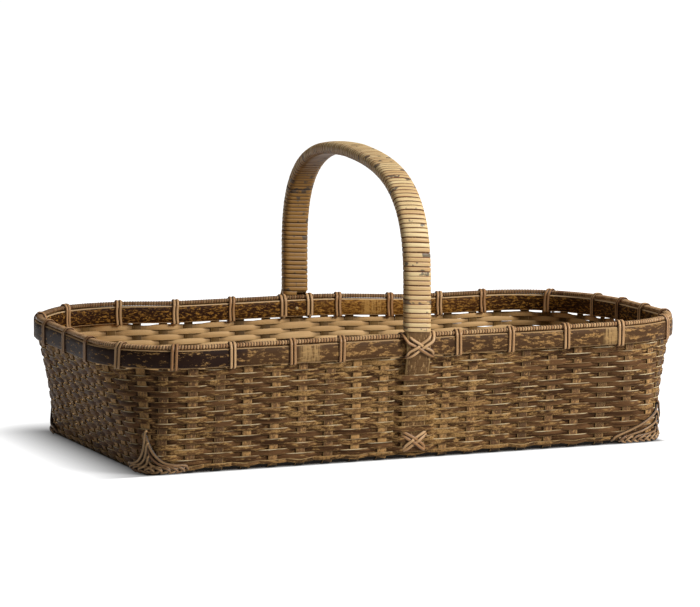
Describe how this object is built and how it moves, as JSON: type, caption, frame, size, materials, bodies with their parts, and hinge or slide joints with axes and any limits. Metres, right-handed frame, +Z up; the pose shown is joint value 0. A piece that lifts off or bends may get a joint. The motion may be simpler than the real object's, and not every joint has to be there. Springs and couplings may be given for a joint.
{
  "type": "handled bread basket",
  "caption": "Long, low woven bamboo basket with rounded corners, a bound double-band rim and a fixed cane-wrapped arch handle across its middle, for bread or fruit.",
  "frame": {"origin": "centre of the footprint on the surface that the basket stands on, z = 0", "axes": "+X along the basket's length, +Y towards its back wall, +Z up; the handle arches across the width in the plane x = 0"},
  "size_m": [0.4522, 0.2512, 0.216],
  "materials": {
    "smoked_split": "smoked bamboo skin, satin",
    "mottled_weft": "mottled smoked bamboo strip, satin with pale cut edges",
    "dark_band": "dark speckled bamboo skin, satin",
    "raw_split": "raw split bamboo, matt",
    "pale_cane": "pale split cane, satin",
    "smoked_core": "smoked bamboo skin, satin",
    "straw_cane": "straw-coloured peeled cane, low gloss"
  },
  "bodies": {
    "root": {"cross_split_01": "smoked_split", "cross_split_02": "smoked_split", "cross_split_03": "smoked_split", "cross_split_04": "smoked_split", "cross_split_05": "smoked_split", "cross_split_06": "smoked_split", "cross_split_07": "smoked_split", "cross_split_08": "smoked_split", "cross_split_09": "smoked_split", "cross_split_10": "smoked_split", "cross_split_11": "smoked_split", "cross_split_12": "smoked_split", "cross_split_13": "smoked_split", "cross_split_14": "smoked_split", "cross_split_15": "smoked_split", "cross_split_16": "smoked_split", "cross_split_17": "smoked_split", "cross_split_18": "smoked_split", "cross_split_19": "smoked_split", "cross_split_20": "smoked_split", "cross_split_21": "smoked_split", "length_split_01": "smoked_split", "length_split_02": "smoked_split", "length_split_03": "smoked_split", "length_split_04": "smoked_split", "length_split_05": "smoked_split", "length_split_06": "smoked_split", "length_split_07": "smoked_split", "length_split_08": "smoked_split", "length_split_09": "smoked_split", "length_split_10": "smoked_split", "length_split_11": "smoked_split", "length_split_12": "smoked_split", "foot_strand": "mottled_weft", "weft_row_01": "mottled_weft", "weft_row_02": "mottled_weft", "weft_row_03": "mottled_weft", "weft_row_04": "mottled_weft", "weft_row_05": "mottled_weft", "weft_row_06": "mottled_weft", "weft_row_07": "mottled_weft", "weft_row_08": "mottled_weft", "weft_row_09": "mottled_weft", "weft_row_10": "mottled_weft", "weft_row_11": "mottled_weft", "weft_row_12": "mottled_weft", "outer_rim_band": "dark_band", "inner_rim_band": "dark_band", "rim_filler": "raw_split", "leg_peg_front": "raw_split", "leg_peg_back": "raw_split", "rim_binding": "pale_cane", "leg_lashing_front": "pale_cane", "leg_lashing_back": "pale_cane", "corner_lashing_front_right": "pale_cane", "corner_lashing_back_right": "pale_cane", "corner_lashing_back_left": "pale_cane", "corner_lashing_front_left": "pale_cane", "handle_core": "smoked_core", "handle_wrap": "straw_cane"}
  },
  "joints": []
}
